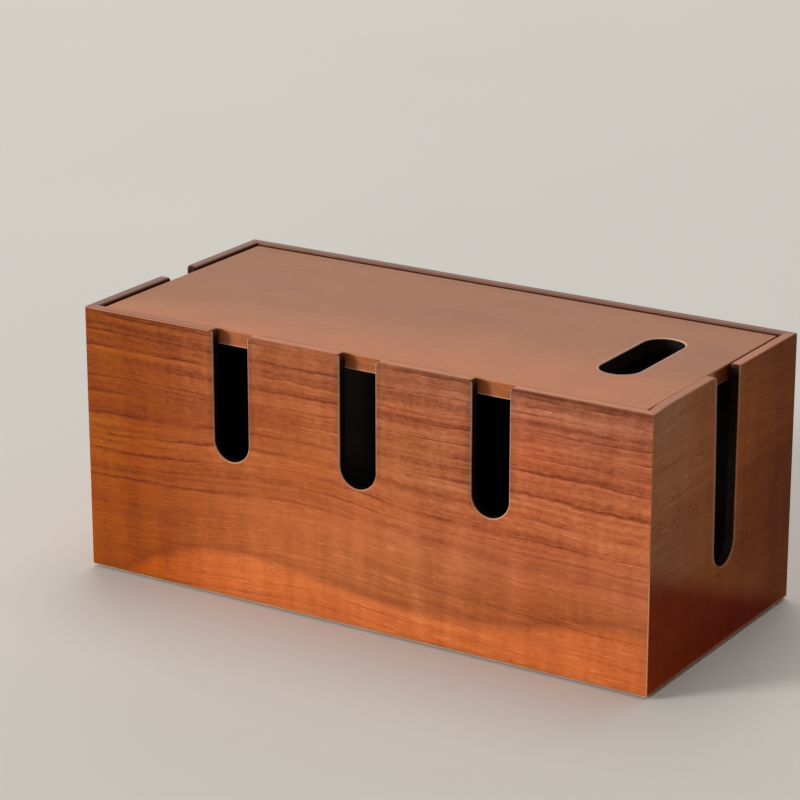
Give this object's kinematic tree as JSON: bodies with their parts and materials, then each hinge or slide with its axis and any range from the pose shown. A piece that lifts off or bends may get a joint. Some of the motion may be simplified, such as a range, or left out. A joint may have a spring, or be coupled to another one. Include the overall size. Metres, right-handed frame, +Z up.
{
  "type": "cable management box",
  "caption": "Low wooden box with mitred walls, cable slots open at the rim, and a drop-in lid that lifts out by a long finger hole.",
  "frame": {"origin": "middle of the footprint, on the surface that the pads stand on", "axes": "+Z up, the long wall with three slots faces -Y, the finger hole is near the +X end of the lid"},
  "size_m": [0.32, 0.1484, 0.1387],
  "materials": {
    "walnut_wall": "reddish walnut with dark streaks along the board, thin satin oil",
    "walnut_lid": "even reddish walnut, matt",
    "inner_board": "plain wood with a near-black brown stain on every side that shows, matt",
    "pad_rubber": "matt black rubber"
  },
  "bodies": {
    "box": {"front_wall": "walnut_wall", "back_wall": "walnut_wall", "left_wall": "walnut_wall", "right_wall": "walnut_wall", "bottom_panel": "inner_board", "front_left_post": "inner_board", "front_right_post": "inner_board", "back_left_post": "inner_board", "back_right_post": "inner_board", "front_left_pad": "pad_rubber", "front_right_pad": "pad_rubber", "back_left_pad": "pad_rubber", "back_right_pad": "pad_rubber"},
    "lid": {"lid_panel": "walnut_lid"}
  },
  "joints": [
    {"name": "lid_lift", "type": "slide", "parent": "box", "child": "lid", "axis": [0, 0, 1], "range_m": [0, 0.1]}
  ]
}
